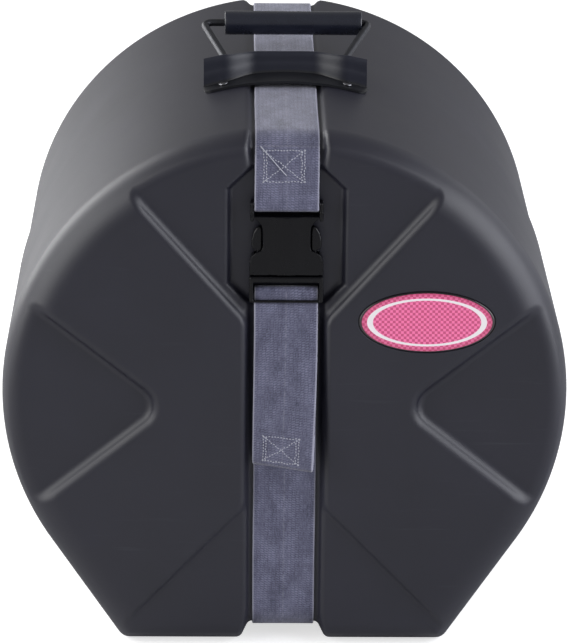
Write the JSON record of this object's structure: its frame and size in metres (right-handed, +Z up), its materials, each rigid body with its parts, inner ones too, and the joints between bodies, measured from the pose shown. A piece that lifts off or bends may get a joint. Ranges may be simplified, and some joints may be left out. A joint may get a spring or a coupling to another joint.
{
  "type": "drum case",
  "caption": "Moulded drum case standing on a flat foot, with a telescoping lid, a buckled webbing strap and a wire bail handle.",
  "frame": {"origin": "on the surface that the case stands on, under the middle of the case, midway between its two faces", "axes": "+X to the right seen from the lid's face, +Y from the lid's face towards the base's back, +Z up"},
  "size_m": [0.4496, 0.4327, 0.466],
  "materials": {
    "shell": "near-black polyethylene with a fine moulded grain",
    "foam": "dark grey closed-cell foam, dull",
    "webbing": "woven slate-grey polypropylene webbing",
    "buckle": "satin black acetal",
    "coated_steel": "glossy blue-black coating on pressed steel",
    "wire": "dark grey coated wire, slightly worn",
    "grip": "smooth dark blue-grey plastic tube",
    "rivet": "bright plated steel",
    "badge": "plain pink oval with a fine texture and a thin pale ring"
  },
  "bodies": {
    "base": {"base_shell": "shell", "base_end_pad": "foam", "base_liner_left": "foam", "base_liner_right": "foam", "strap_rear": "webbing", "strap_rivet": "rivet", "strap_washer": "rivet"},
    "lid": {"lid_shell": "shell", "lid_end_pad": "foam", "lid_liner_left": "foam", "lid_liner_right": "foam", "strap_upper_front": "webbing", "strap_lower_front": "webbing", "buckle_socket": "buckle", "buckle_insert": "buckle", "handle_bracket": "coated_steel", "badge": "badge", "rivet_front_left": "rivet", "washer_front_left": "rivet", "rivet_front_right": "rivet", "washer_front_right": "rivet", "rivet_rear_left": "rivet", "washer_rear_left": "rivet", "rivet_rear_right": "rivet", "washer_rear_right": "rivet"},
    "bail": {"handle_bail": "wire"},
    "grip": {"handle_grip": "grip"},
    "prong_left": {"buckle_prong_left": "buckle"},
    "prong_right": {"buckle_prong_right": "buckle"},
    "tail": {"strap_tail": "webbing"}
  },
  "joints": [
    {"name": "lid_slide", "type": "slide", "parent": "base", "child": "lid", "axis": [0, -1, 0], "range_m": [0, 0.25]},
    {"name": "bail_swing", "type": "hinge", "parent": "lid", "child": "bail", "pos_m": [0, -0.028, 0.4385], "axis": [1, 0, 0], "range_deg": [0, 74.4]},
    {"name": "grip_spin", "type": "hinge", "parent": "bail", "child": "grip", "pos_m": [0, 0.0346, 0.45598], "axis": [1, 0, 0], "continuous": true},
    {"name": "prong_left_squeeze", "type": "hinge", "parent": "lid", "child": "prong_left", "pos_m": [-0.02, -0.2093, 0.3214], "axis": [0, 1, 0], "range_deg": [0, 7], "stiffness_Nm_per_rad": 3.4},
    {"name": "prong_right_squeeze", "type": "hinge", "parent": "lid", "child": "prong_right", "pos_m": [0.02, -0.2093, 0.3214], "axis": [0, -1, 0], "range_deg": [0, 7], "stiffness_Nm_per_rad": 3.4},
    {"name": "tail_lift", "type": "hinge", "parent": "lid", "child": "tail", "pos_m": [0, -0.2127, 0.2994], "axis": [-1, 0, 0], "range_deg": [0, 85]}
  ]
}
